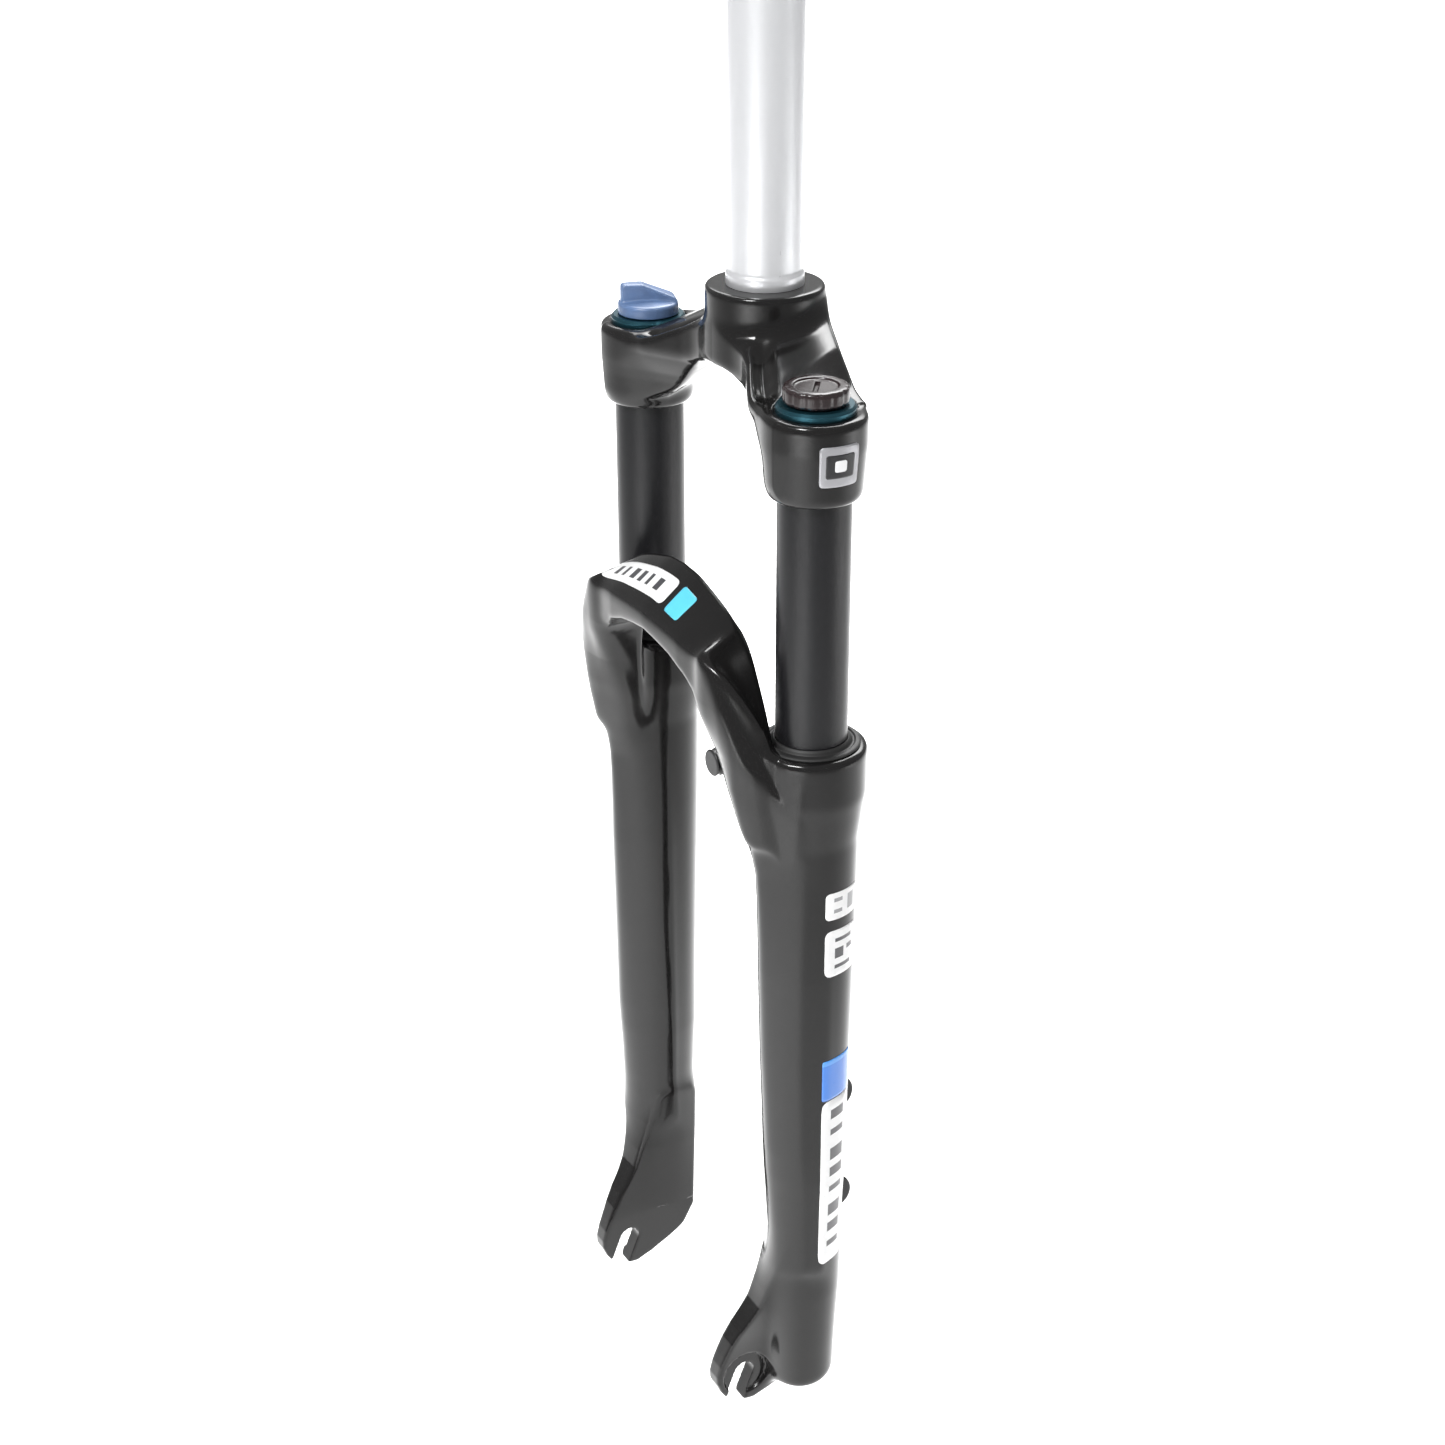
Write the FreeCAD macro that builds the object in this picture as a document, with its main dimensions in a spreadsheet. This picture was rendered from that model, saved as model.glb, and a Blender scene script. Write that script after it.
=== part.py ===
import FreeCAD, Part
import math
import os

import Sketcher
from FreeCAD import Placement, Rotation, Vector

# Telescopic bicycle fork.  Origin: on the steerer axis, in the plane of the crown race shoulder.
# +Z runs up the steerer, -Y is forward, +X is the rider's left.  Millimetres throughout.

SIZES = [
    ("steerer_radius", 14.3, "1-1/8 inch threadless steerer"),
    ("steerer_bore", 12.1, "inside radius of the steerer"),
    ("steerer_top", 255.0, "uncut length above the race shoulder"),
    ("steerer_root", 30.0, "length pressed into the crown"),
    ("race_radius", 15.05, "seat for the crown race"),
    ("race_length", 5.0, "height of that seat"),
    ("boss_radius", 23.0, "crown boss round the steerer"),
    ("leg_offset", 65.0, "half the distance between the stanchions"),
    ("leg_lead", 16.2, "how far the legs lie ahead of the steerer"),
    ("socket_radius", 19.4, "crown socket round a stanchion"),
    ("socket_top", -29.0, "level of the socket mouths"),
    ("socket_foot", -61.5, "lowest level of the crown"),
    ("stanchion_radius", 14.0, "28 mm stanchion"),
    ("stanchion_bore", 12.0, "inside radius of the stanchion"),
    ("stanchion_foot", -276.0, "lower end of the stanchions"),
    ("travel", 80.0, "suspension travel"),
    ("running_gap", 0.05, "radial clearance of every sliding or turning fit"),
    ("collar_top", -162.0, "upper end of the lower legs"),
    ("collar_radius", 21.9, "collar that holds the dust seal"),
    ("collar_foot", -181.5, "end of the parallel part of the collar"),
    ("neck_level", -201.5, "end of the cone below the collar"),
    ("neck_radius", 19.1, "leg below the collar"),
    ("shin_level", -452.0, "end of the long taper"),
    ("shin_radius", 13.4, "leg at the end of the long taper"),
    ("leg_foot", -468.0, "flat end of the legs"),
    ("seal_radius", 17.6, "pocket of the dust seal"),
    ("seal_depth", 8.0, "depth of that pocket"),
    ("foam_depth", 8.0, "height of the oil foam ring"),
    ("bushing_radius", 16.4, "outside of the guide bushings"),
    ("bushing_length", 20.0, "length of a guide bushing"),
    ("bushing_upper", -202.0, "lower end of the upper bushings"),
    ("bushing_lower", -266.0, "lower end of the lower bushings"),
    ("well_radius", 14.7, "bore of the leg that the stanchion dips into"),
    ("well_foot", -360.0, "end of that bore"),
    ("bumper_radius", 11.4, "bore that holds the rubber stop"),
    ("bumper_foot", -384.0, "end of that bore"),
    ("rod_well_radius", 8.0, "bore round the foot of the rods"),
    ("rod_foot", -420.0, "level where the rods stand"),
    ("bolt_seat", -457.0, "level where the foot bolt heads bear"),
    ("bolt_radius", 3.0, "shank of a foot bolt"),
    ("axle_lead", 41.0, "distance of the axle ahead of the steerer axis"),
    ("axle_level", -464.5, "level of the wheel axle"),
    ("axle_slot", 4.75, "half the width of the axle slot"),
    ("slot_tilt", 22.0, "degrees that the slot leans forward of straight down"),
    ("dropout_inner", 50.0, "half the hub width"),
    ("dropout_outer", 59.0, "outer face of the dropouts"),
    ("hole_pitch", 51.0, "distance between the brake mount holes"),
    ("hole_radius", 3.05, "brake mount hole"),
    ("hole_back", 6.0, "distance of those holes behind the steerer axis"),
    ("hole_level", -338.5, "level of the upper brake mount hole"),
    ("rod_radius", 5.0, "spring rod"),
    ("shaft_radius", 4.0, "damper shaft"),
    ("rod_head", -228.0, "level of the spring rod's plate"),
    ("spring_wire", 1.9, "half the wire of the spring"),
    ("spring_radius", 9.2, "mean radius of the spring"),
    ("spring_turns", 16.0, "turns of the spring"),
    ("plug_level", -60.0, "lower face of the preload plug"),
    ("plug_length", 9.0, "height of the preload plug"),
    ("stem_radius", 4.0, "stems that the two knobs turn"),
    ("stem_reach", 7.3, "how far those stems stand above the stanchions"),
    ("cap_thread", 15.0, "length of the caps inside the stanchions"),
    ("spindle_foot", -52.0, "lower end of the lockout spindle"),
    ("valve_radius", 8.6, "rotary valve under that spindle"),
    ("valve_length", 4.0, "height of that valve"),
    ("tube_radius", 10.5, "outside radius of the damper tube"),
    ("tube_bore", 9.3, "inside radius of the damper tube"),
    ("guide_length", 14.0, "height of the rod guides"),
    ("cap_radius", 15.0, "flange of the top caps"),
    ("cap_height", 3.0, "height of that flange"),
    ("knob_radius", 12.4, "both knobs"),
    ("guide_offset", 41.0, "hose guide, sideways"),
    ("guide_level", -174.5, "hose guide, height"),
]

doc = FreeCAD.newDocument("suspension_fork")
sheet = doc.addObject("Spreadsheet::Sheet", "sizes")
for row, (alias, value, meaning) in enumerate(SIZES, start=1):
    sheet.set("A%d" % row, alias)
    sheet.set("B%d" % row, str(value))
    sheet.set("C%d" % row, meaning)
    sheet.setAlias("B%d" % row, alias)
doc.recompute()

SIDES = {"left": 1, "right": -1}
pieces = []


def size(alias):
    """The value that the sheet holds for one alias."""
    return float(sheet.get(alias))


def keep(piece, name):
    """List a finished piece under the name of its node."""
    piece.Label = name
    pieces.append(piece)
    return piece


def round_body(name, outer, bore, foot, length, x="0", y="0"):
    """An upright bar or tube.  Every size is an expression that reads the sheet."""
    body = doc.addObject("PartDesign::Body", name)
    plane = [f for f in body.Origin.OriginFeatures if f.Role == "XY_Plane"][0]
    sketch = body.newObject("Sketcher::SketchObject", name + "_section")
    sketch.AttachmentSupport = [(plane, "")]
    sketch.MapMode = "FlatFace"
    radii = [outer] if bore is None else [outer, bore]
    for expression, start in zip(radii, (10.0, 5.0)):
        circle = sketch.addGeometry(Part.Circle(Vector(), Vector(0, 0, 1), start), False)
        sketch.addConstraint(Sketcher.Constraint("Coincident", circle, 3, -1, 1))
        radius = sketch.addConstraint(Sketcher.Constraint("Radius", circle, start))
        sketch.setExpression("Constraints[%d]" % radius, expression)
    pad = body.newObject("PartDesign::Pad", name + "_pad")
    pad.Profile = sketch
    pad.setExpression("Length", length)
    body.setExpression(".Placement.Base.x", x)
    body.setExpression(".Placement.Base.y", y)
    body.setExpression(".Placement.Base.z", foot)
    return keep(body, name)


def leg_body(name, side, outer, bore, foot, length):
    """An upright bar or tube on the axis of one leg."""
    x = "%d * sizes.leg_offset" % SIDES[side]
    return round_body(name, outer, bore, foot, length, x, "-sizes.leg_lead")


def made(name, shape, place=Placement()):
    """A piece whose shape comes from Part's own functions."""
    feature = doc.addObject("Part::Feature", name)
    feature.Shape = shape
    feature.Placement = place
    return keep(feature, name)


def on_leg(side):
    return Placement(Vector(SIDES[side] * size("leg_offset"), -size("leg_lead"), 0), Rotation())


def turned(outline):
    """Solid of revolution about Z from a list of (radius, z) corners."""
    corners = [Vector(r, 0, z) for r, z in outline]
    wire = Part.makePolygon(corners + [corners[0]])
    return Part.Face(wire).revolve(Vector(), Vector(0, 0, 1), 360)


def bar(radius, low, high, x=0.0, y=0.0):
    return Part.makeCylinder(radius, high - low, Vector(x, y, low))


def cross_bar(radius, x_low, x_high, y, z):
    """Cylinder along X."""
    return Part.makeCylinder(radius, x_high - x_low, Vector(x_low, y, z), Vector(1, 0, 0))


def block(x_low, x_high, y_low, y_high, z_low, z_high):
    return Part.makeBox(x_high - x_low, y_high - y_low, z_high - z_low, Vector(x_low, y_low, z_low))


def slab(outline, axis, low, high):
    """Prism of a flat outline: (x, z) corners pushed along Y, or (y, z) along X, or (x, y) along Z."""
    if axis == "X":
        corners = [Vector(low, a, b) for a, b in outline]
        push = Vector(high - low, 0, 0)
    elif axis == "Y":
        corners = [Vector(a, low, b) for a, b in outline]
        push = Vector(0, high - low, 0)
    else:
        corners = [Vector(a, b, low) for a, b in outline]
        push = Vector(0, 0, high - low)
    return Part.Face(Part.makePolygon(corners + [corners[0]])).extrude(push)


def curve(points, y):
    """Smooth edge through (x, z) points in the plane of one y."""
    spline = Part.BSplineCurve()
    spline.interpolate([Vector(x, y, z) for x, z in points])
    return spline.toShape()


def both_ways(half):
    """Whole outline from its half with x >= 0, listed from the middle out."""
    return [(-x, z) for x, z in reversed(half[1:])] + half


# ---------------------------------------------------------------- crown and steerer

def crown_shape():
    offset, lead = size("leg_offset"), size("leg_lead")
    top, foot = size("socket_top"), size("socket_foot")
    socket = size("socket_radius")
    # Front view: a roof that falls from the boss to the sockets, over an arched underside.
    roof = both_ways([(0, -6), (22, -12), (38, -21), (54, -27), (offset, top)])
    arch = both_ways([(0, -32), (20, -34.5), (34, -40.5), (44, -50), (47, foot - 3)])
    skin = [Vector(x, -60, z) for x, z in roof]
    outline = [Part.makePolygon(skin)]
    under = curve(arch, -60)
    corners = [skin[-1], Vector(offset, -60, foot - 3), under.Vertexes[-1].Point]
    outline.append(Part.makePolygon(corners))
    outline.append(under)
    outline.append(Part.makePolygon([under.Vertexes[0].Point, Vector(-offset, -60, foot - 3), skin[0]]))
    edges = [edge for part in outline for edge in part.Edges]
    front = Part.Face(Part.Wire(Part.__sortEdges__(edges))).extrude(Vector(0, 120, 0))
    # Top view: arms that swell from the sockets towards the boss.
    rear = both_ways([(0, 21), (24, 13), (40, 7.5), (offset, 1.0)])
    nose = both_ways([(0, -21), (22, -22), (42, -29), (offset, -34)])
    plan = slab(rear + list(reversed(nose)), "Z", -46, 0)
    solid = front.common(plan).fuse(bar(size("boss_radius"), -28, 0))
    for side in SIDES.values():
        wall = turned([(0, foot), (socket - 3, foot), (socket - 0.8, foot + 5), (socket, foot + 20),
                       (socket, top - 3), (socket - 2, top), (0, top)])
        wall.translate(Vector(side * offset, -lead, 0))
        solid = solid.fuse(wall)
    # The sockets' mouths stay clear of the arms, so that the top caps can be reached.
    for side in SIDES.values():
        solid = solid.cut(bar(socket - 3, top, 0, side * offset, -lead))
        solid = solid.cut(bar(size("stanchion_radius"), foot, top, side * offset, -lead))
    solid = solid.cut(bar(size("steerer_radius"), -60, 1))
    return solid.removeSplitter()


def steerer_shape():
    root, top = -size("steerer_root"), size("steerer_top")
    tube = bar(size("steerer_radius"), root, top)
    seat = turned([(14, 0), (size("race_radius"), 0), (size("race_radius"), size("race_length")),
                   (14, size("race_length") + 1.5)])
    tube = tube.fuse(seat)
    return tube.cut(bar(size("steerer_bore"), root, top)).removeSplitter()


made("steerer_tube", steerer_shape())
made("crown", crown_shape())
for side in SIDES:
    leg_body("stanchion_" + side, side, "sizes.stanchion_radius", "sizes.stanchion_bore",
             "sizes.stanchion_foot", "sizes.socket_top - sizes.stanchion_foot")
    leg_body("rod_guide_" + side, side, "sizes.stanchion_bore",
             "sizes.%s_radius + sizes.running_gap" % ("rod" if side == "left" else "shaft"),
             "sizes.stanchion_foot", "sizes.guide_length")


# ---------------------------------------------------------------- top caps and adjusters

KNOB_GAP = 0.3


def cap_shape():
    """Threaded top cap: a flange over the stanchion and a plug inside it."""
    top = size("socket_top")
    flange = size("cap_radius")
    plug = size("stanchion_bore")
    end = top - size("cap_thread")
    solid = turned([(0, end), (plug, end), (plug, top), (flange, top), (flange, top + 2),
                    (flange - 1, top + size("cap_height")), (0, top + size("cap_height"))])
    return solid.cut(bar(size("stem_radius") + size("running_gap"), end - 1, 0))


def preload_knob_shape():
    """Low round knob with shallow grip flutes and a dished top."""
    low = size("socket_top") + size("cap_height") + KNOB_GAP
    high = low + 8.0
    radius = size("knob_radius")
    knob = turned([(0, low), (radius, low), (radius, high - 2), (radius - 2, high), (8.5, high),
                   (7.5, high - 1), (0, high - 1)])
    flutes = 12
    for i in range(flutes):
        angle = 2 * math.pi * i / flutes
        reach = radius + 1.6
        knob = knob.cut(bar(2.2, low + 1.5, high + 1, reach * math.cos(angle), reach * math.sin(angle)))
    return knob.cut(bar(size("stem_radius"), low, low + 4))


def lockout_knob_shape():
    """Round knob with a raised wedge across it that works as the lever."""
    low = size("socket_top") + size("cap_height") + KNOB_GAP
    radius = size("knob_radius")
    disc = turned([(0, low), (radius, low), (radius, low + 2.6), (radius - 3, low + 5), (0, low + 5.4)])
    wedge = slab([(-radius + 1, low + 2), (radius - 0.6, low + 2), (radius - 0.6, low + 4.4),
                  (-3, low + 10.6), (-radius + 3.4, low + 10.9), (-radius + 1, low + 9)], "Y", -3.6, 3.6)
    edges = [e for e in wedge.Edges if e.BoundBox.ZMax > low + 4 and e.Length > 7]
    knob = disc.fuse(wedge.makeFillet(1.2, edges))
    return knob.cut(bar(size("stem_radius"), low, low + 4)).removeSplitter()


made("preload_cap", cap_shape(), on_leg("left"))
made("lockout_cap", cap_shape(), on_leg("right"))
made("preload_knob", preload_knob_shape(), on_leg("left"))
lockout_knob = made("lockout_knob", lockout_knob_shape(), on_leg("right"))
lockout_knob.Placement.Rotation = Rotation(Vector(0, 0, 1), 70)

# Preload: the knob turns a stem, whose thread moves a plug that bears on the spring.
leg_body("preload_stem", "left", "sizes.stem_radius", None, "sizes.plug_level",
         "sizes.socket_top - sizes.plug_level + sizes.stem_reach")
leg_body("preload_plug", "left", "sizes.stanchion_bore - 2 * sizes.running_gap",
         "sizes.stem_radius + sizes.running_gap", "sizes.plug_level", "sizes.plug_length")
# Lockout: the knob turns a spindle with a rotary valve at its foot.
leg_body("lockout_spindle", "right", "sizes.stem_radius", None, "sizes.spindle_foot",
         "sizes.socket_top - sizes.spindle_foot + sizes.stem_reach")
leg_body("lockout_valve", "right", "sizes.valve_radius", None,
         "sizes.spindle_foot - sizes.valve_length", "sizes.valve_length")
leg_body("damper_tube", "right", "sizes.tube_radius", "sizes.tube_bore",
         "sizes.stanchion_foot + sizes.guide_length",
         "sizes.socket_top - sizes.cap_thread - sizes.stanchion_foot - sizes.guide_length")


# ---------------------------------------------------------------- lower legs

def leg_shape():
    """One leg without its bores: collar, cone, long taper and rounded foot."""
    foot, shin = size("leg_foot"), size("shin_radius")
    return turned([(0, foot), (shin - 3.5, foot), (shin - 1, foot + 2.5), (shin, size("shin_level")),
                   (size("neck_radius"), size("neck_level")), (size("collar_radius"), size("collar_foot")),
                   (size("collar_radius"), size("collar_top") - 3),
                   (size("collar_radius") - 2.5, size("collar_top")), (0, size("collar_top"))])


def gusset_shape():
    """Rib that carries the arch down the front of a leg: flat sections with a round nose."""
    nose_offset = 60.0
    levels = [(-152, -50.8, 10), (-156, -51, 10), (-178, -47.2, 10.5), (-201.5, -41, 10),
              (-216.5, -37.8, 9.5), (-251.5, -35.8, 8.5), (-301.5, -33.6, 7.5), (-345, -29, 6)]
    sections = []
    for z, front, radius in levels:
        left, right, middle = nose_offset - radius, nose_offset + radius, front + radius
        back = -37 if z > -160 else -size("leg_lead")
        arc = Part.Arc(Vector(left, middle, z), Vector(nose_offset, front, z), Vector(right, middle, z))
        sides = Part.makePolygon([Vector(right, middle, z), Vector(right, back, z), Vector(left, back, z),
                                  Vector(left, middle, z)])
        sections.append(Part.Wire([arc.toShape()] + sides.Edges))
    return Part.makeLoft(sections, True, True)


def arch_shape():
    """Brace over the wheel: a ruled band between a high rear outline and a low front outline."""
    rear_y, front_y = -36.0, -56.5
    rear_top = both_ways([(0, -109.3), (19, -112.2), (37, -118.2), (49, -126.5), (58, -143), (67, -160)])
    rear_low = both_ways([(0, -126.5), (18, -129.5), (30, -138), (38, -151), (42, -168)])
    front_top = both_ways([(0, -124.1), (24, -125.1), (42, -127), (56, -131), (64, -138), (67, -147)])
    front_low = both_ways([(0, -133), (18, -135.5), (31, -140.5), (41, -148), (48, -158)])
    wires = []
    for top, low, y in ((rear_top, rear_low, rear_y), (front_top, front_low, front_y)):
        upper, lower = curve(top, y), curve(low, y)
        ends = [Part.makeLine(upper.Vertexes[i].Point, lower.Vertexes[i].Point) for i in (0, -1)]
        wires.append(Part.Wire(Part.__sortEdges__([upper, ends[1], lower, ends[0]])))
    # Seen from above the brace bows forward, and its corners are round.
    bow = both_ways([(0, front_y), (28, -55.6), (48, -53), (60, -48.5), (66.5, -41), (67, rear_y)])
    return Part.makeLoft(wires, True, True).common(slab(bow, "Z", -180, -100))


def dropout_shape():
    """Plate that carries the axle, with an open slot and a round seat for the quick release."""
    inner, outer = size("dropout_inner"), size("dropout_outer")
    y, z = -size("axle_lead"), size("axle_level")
    outline = [(-24, -396), (-28, -407), (-33, -421), (-38.5, -435.5), (-45.4, -446.5), (-51, -457.6),
               (-53.5, -464), (-52.7, -470), (-48.5, -476.5), (-39, -480), (-28, -477.5), (-16.2, -468),
               (-16.2, -396)]
    # Its upper end is thicker and leans outwards, into the middle of the leg.
    root = [(inner, -482), (outer, -482), (outer, -455), (64.5, -431), (64.5, -396), (52.5, -396),
            (52.5, -421), (inner, -450)]
    plate = slab(outline, "X", inner, 65).common(slab(root, "Y", -60, 0))
    half = size("axle_slot")
    slot = block(inner - 1, outer + 1, -half, half, -30, 0)
    slot.rotate(Vector(), Vector(1, 0, 0), -size("slot_tilt"))
    slot.translate(Vector(0, y, z))
    slot = slot.fuse(cross_bar(half, inner - 1, outer + 1, y, z))
    seat = cross_bar(10.5, outer - 1.2, outer + 1, y, z)
    return plate.cut(slot).cut(seat)


def brake_mount_shape():
    """Two drilled ears behind the left leg."""
    plate = None
    for i in range(2):
        z = size("hole_level") - i * size("hole_pitch")
        y = size("hole_back")
        ear = cross_bar(8.2, 46, 54, y, z).fuse(block(46, 54, -14, y, z - 8.2, z + 8.2))
        plate = ear if plate is None else plate.fuse(ear)
    return plate.fuse(block(46, 54, -14, -3, size("hole_level") - size("hole_pitch"), size("hole_level")))


def guide_boss_shape():
    """Round boss on the inner side of the left arch root, with a web to the leg."""
    x, z = size("guide_offset"), size("guide_level")
    boss = Part.makeCylinder(6.6, 5, Vector(x, -29.5, z), Vector(0, -1, 0))
    return boss.fuse(block(x, x + 14, -34, -29.5, z - 5, z + 5))


def casting_shape():
    offset, lead = size("leg_offset"), size("leg_lead")
    legs = []
    for side in SIDES.values():
        leg = leg_shape()
        leg.translate(Vector(offset, -lead, 0))
        leg = leg.fuse([gusset_shape(), dropout_shape()])
        if side < 0:
            leg = leg.mirror(Vector(), Vector(1, 0, 0))
        legs.append(leg)
    solid = legs[0].fuse([legs[1], arch_shape(), brake_mount_shape(), guide_boss_shape()])
    pocket = size("collar_top") - size("seal_depth")
    for side in SIDES.values():
        x = side * offset
        for radius, low, high in ((size("seal_radius"), pocket - size("foam_depth"), 0),
                                  (size("bushing_radius"), size("bushing_lower") - 1, pocket),
                                  (size("well_radius"), size("well_foot"), pocket),
                                  (size("bumper_radius"), size("bumper_foot"), pocket),
                                  (size("rod_well_radius"), size("rod_foot"), pocket),
                                  (size("bolt_radius") + 0.1, size("leg_foot"), pocket),
                                  (7.0, size("leg_foot") - 1, size("bolt_seat"))):
            # Above the collar this clears the whole stanchion, not only the bore.
            solid = solid.cut(bar(radius, low, min(high, -60), x, -lead))
    for i in range(2):
        z = size("hole_level") - i * size("hole_pitch")
        solid = solid.cut(cross_bar(size("hole_radius"), 40, 60, size("hole_back"), z))
    hole = Part.makeCylinder(2.0, 8, Vector(size("guide_offset"), -36, size("guide_level")), Vector(0, 1, 0))
    return solid.cut(hole).removeSplitter()


def foot_bolt_shape():
    seat = size("bolt_seat") - 1
    bolt = bar(5.8, seat - 6, seat).fuse(bar(size("bolt_radius"), seat, size("rod_foot") + 15))
    key = Part.makePolygon([Vector(2.9 * math.cos(math.radians(a)), 2.9 * math.sin(math.radians(a)), seat - 6)
                            for a in range(0, 361, 60)])
    return bolt.cut(Part.Face(key).extrude(Vector(0, 0, 3.5)))


def in_both_legs(shape):
    """The same piece in the left and in the right leg, as two separate solids."""
    copies = []
    for side in SIDES:
        copy = shape.copy()
        copy.translate(on_leg(side).Base)
        copies.append(copy)
    return Part.makeCompound(copies)


made("lower_casting", casting_shape())
made("foot_bolts", in_both_legs(foot_bolt_shape()))
seat_level = size("bolt_seat")
washer = bar(6.6, seat_level - 1, seat_level).cut(bar(3, seat_level - 1, seat_level))
made("foot_washers", in_both_legs(washer))

for side in SIDES:
    seal = turned([(size("stanchion_radius") + size("running_gap"), size("collar_top") - size("seal_depth")),
                   (size("seal_radius"), size("collar_top") - size("seal_depth")),
                   (size("seal_radius"), size("collar_top")),
                   (size("seal_radius") - 0.8, size("collar_top") + 0.8),
                   (size("stanchion_radius") + 1.2, size("collar_top") + 0.8),
                   (size("stanchion_radius") + size("running_gap"), size("collar_top") + 2.2)])
    made("dust_seal_" + side, seal, on_leg(side))
    leg_body("foam_ring_" + side, side, "sizes.seal_radius", "sizes.stanchion_radius + 0.3",
             "sizes.collar_top - sizes.seal_depth - sizes.foam_depth", "sizes.foam_depth")
    for level in ("upper", "lower"):
        leg_body("bushing_%s_%s" % (side, level), side, "sizes.bushing_radius",
                 "sizes.stanchion_radius + sizes.running_gap", "sizes.bushing_" + level, "sizes.bushing_length")
    rod = "rod" if side == "left" else "shaft"
    leg_body("bottom_bumper_" + side, side, "sizes.bumper_radius", "sizes.%s_radius" % rod,
             "sizes.bumper_foot", "sizes.stanchion_foot - sizes.travel - sizes.bumper_foot - 1")


# ---------------------------------------------------------------- spring leg and damper leg

def rod_shape(radius, top):
    """Rod that stands on the floor of its leg and takes the foot bolt."""
    rod = bar(radius, size("rod_foot"), top).fuse(bar(7.5, size("rod_foot"), size("rod_foot") + 6))
    return rod.cut(bar(size("bolt_radius"), size("rod_foot"), size("rod_foot") + 15.5))


def spring_shape():
    """Round-wire coil between the spring rod's plate and the preload plug."""
    wire_radius, radius = size("spring_wire"), size("spring_radius")
    rise = size("plug_level") - size("rod_head") - PLATE_HEIGHT - 2 * wire_radius
    path = Part.makeHelix(rise / size("spring_turns"), rise, radius)
    section = Part.Wire(Part.makeCircle(wire_radius, Vector(radius, 0, 0), Vector(0, 1, 0)))
    return Part.Wire(path.Edges).makePipeShell([section], True, True)


PLATE_HEIGHT = 3.0
PILOT_RADIUS = 6.5
PILOT_HEIGHT = 6.0
rod_head = size("rod_head")
plate_top = rod_head + PLATE_HEIGHT
plate_radius = size("stanchion_bore") - 1.0
rod = rod_shape(size("rod_radius"), rod_head).fuse(bar(plate_radius, rod_head, plate_top))
rod = rod.fuse(bar(PILOT_RADIUS, plate_top, plate_top + PILOT_HEIGHT)).removeSplitter()
made("spring_rod", rod, on_leg("left"))
leg_body("top_out_bumper", "left", "9", "sizes.rod_radius",
         "sizes.stanchion_foot + sizes.guide_length + 0.5",
         "sizes.rod_head - sizes.stanchion_foot - sizes.guide_length - 0.5")
spring_place = on_leg("left")
spring_place.Base.z = plate_top + size("spring_wire")
made("coil_spring", spring_shape(), spring_place)
PISTON_LEVEL = -222.0
PISTON_TOP = -214.0
PORT_CIRCLE = 6.4
PORTS = 6
made("damper_shaft", rod_shape(size("shaft_radius"), PISTON_LEVEL), on_leg("right"))
piston = bar(size("tube_bore") - size("running_gap"), PISTON_LEVEL, PISTON_TOP)
for i in range(PORTS):
    angle = 2 * math.pi * i / PORTS
    x, y = PORT_CIRCLE * math.cos(angle), PORT_CIRCLE * math.sin(angle)
    piston = piston.cut(bar(1.1, PISTON_LEVEL, PISTON_TOP, x, y))
made("damper_piston", piston, on_leg("right"))


# ---------------------------------------------------------------- hose guide

def hose_guide_shape():
    """Round plug that snaps into the boss and has an open eye for the brake hose."""
    x, z, ahead = size("guide_offset"), size("guide_level"), Vector(0, -1, 0)
    body = Part.makeCylinder(5.5, 12.5, Vector(x, -34.5, z), ahead)
    tip = [e for e in body.Edges if e.BoundBox.YMax < -46]
    body = body.makeFillet(1.6, tip)
    body = body.fuse(Part.makeCylinder(2.0, 5, Vector(x, -29.5, z), ahead))
    eye = bar(3.1, z - 8, z + 8, x, -41)
    mouth = block(x - 8, x, -42.6, -39.4, z - 8, z + 8)
    return body.cut(eye.fuse(mouth)).removeSplitter()


made("hose_guide", hose_guide_shape())

# ---------------------------------------------------------------- check and write

doc.recompute()
for thing in doc.Objects:
    if "Invalid" in thing.State or "Error" in thing.State:
        raise RuntimeError("%s is in state %s" % (thing.Name, thing.State))
for piece in pieces:
    if piece.Shape.isNull() or not piece.Shape.isValid() or not piece.Shape.Solids:
        raise RuntimeError("%s has no valid solid" % piece.Label)

os.makedirs("parts", exist_ok=True)
for piece in pieces:
    piece.Shape.exportStep("parts/%s.step" % piece.Label)
    print("%-22s %d solid(s) %10.1f mm3" % (piece.Label, len(piece.Shape.Solids), piece.Shape.Volume))
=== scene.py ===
import math

import bpy
import numpy as np
from mathutils import Matrix, Vector


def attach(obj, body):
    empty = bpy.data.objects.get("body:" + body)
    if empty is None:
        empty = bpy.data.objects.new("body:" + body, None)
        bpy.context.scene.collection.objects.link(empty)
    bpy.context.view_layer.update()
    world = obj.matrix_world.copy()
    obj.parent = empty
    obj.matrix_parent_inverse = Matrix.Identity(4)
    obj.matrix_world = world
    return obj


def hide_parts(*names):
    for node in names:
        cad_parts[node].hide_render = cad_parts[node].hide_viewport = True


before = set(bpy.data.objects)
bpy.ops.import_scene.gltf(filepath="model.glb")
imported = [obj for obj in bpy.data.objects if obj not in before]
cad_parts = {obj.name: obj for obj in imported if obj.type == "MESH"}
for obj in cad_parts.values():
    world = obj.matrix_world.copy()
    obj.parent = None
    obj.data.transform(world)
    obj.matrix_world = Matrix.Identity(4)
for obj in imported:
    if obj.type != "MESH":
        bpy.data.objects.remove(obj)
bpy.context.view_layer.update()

MM = 0.001
LEG_X, LEG_Y = 65.0, -16.2        # axis of the left leg, millimetres
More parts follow.
